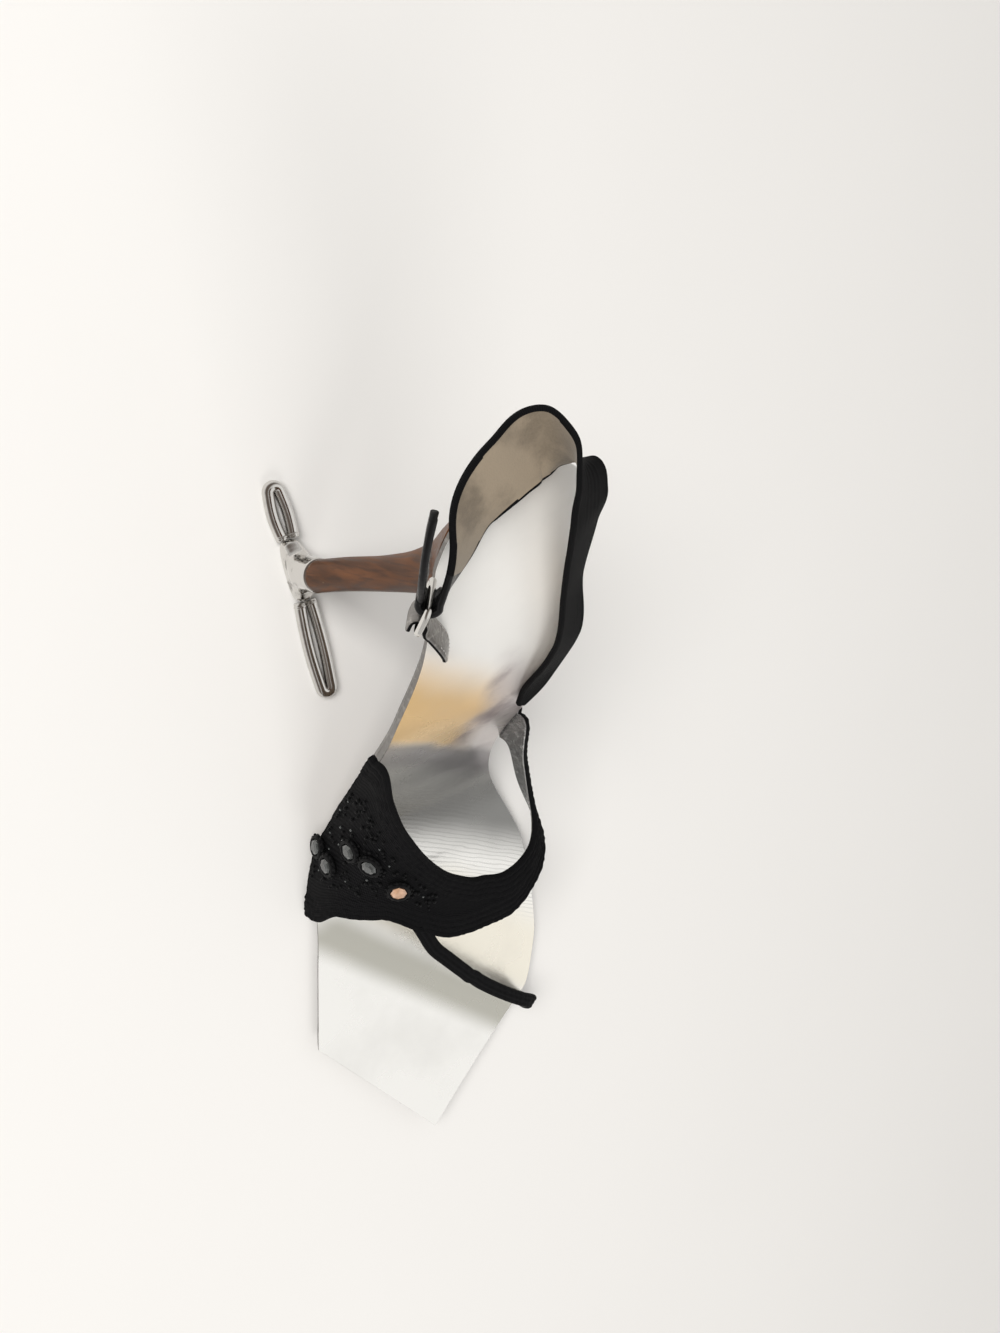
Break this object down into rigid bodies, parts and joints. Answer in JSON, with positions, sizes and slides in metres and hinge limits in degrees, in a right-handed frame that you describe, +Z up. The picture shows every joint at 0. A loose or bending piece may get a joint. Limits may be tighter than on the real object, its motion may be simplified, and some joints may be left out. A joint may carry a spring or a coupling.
{
  "type": "slingback heel",
  "caption": "High-heeled slingback sandal for the right foot: silver footbed, black band with cut stones, slack strap with buckle, wooden stem on a silver looped base",
  "frame": {"origin": "on the floor, on the flat tread of the outsole under the ball of the foot", "axes": "+X to the toe, +Y to the inner side of the foot, +Z up"},
  "size_m": [0.2357, 0.0859, 0.1257],
  "materials": {
    "sole_leather": "smooth leather sole",
    "silver_leather": "bright silver foil leather",
    "black_fabric": "black corded fabric",
    "black_setting": "black glossy setting",
    "cut_stone": "grey faceted stone",
    "silver_metal": "polished silver",
    "turned_wood": "oiled brown wood"
  },
  "bodies": {
    "root": {"outsole": "sole_leather", "insole": "silver_leather", "vamp_upper": "black_fabric", "bezel_1": "black_setting", "bezel_2": "black_setting", "bezel_3": "black_setting", "bezel_4": "black_setting", "bezel_5": "black_setting", "stone_1": "cut_stone", "stone_2": "cut_stone", "stone_3": "cut_stone", "stone_4": "cut_stone", "stone_5": "cut_stone", "sling_strap": "black_fabric", "buckle_tab": "silver_leather", "buckle_frame": "silver_metal", "heel_stem": "turned_wood", "heel_ferrule": "silver_metal", "heel_loop_front": "silver_metal", "heel_loop_back": "silver_metal"}
  },
  "joints": []
}
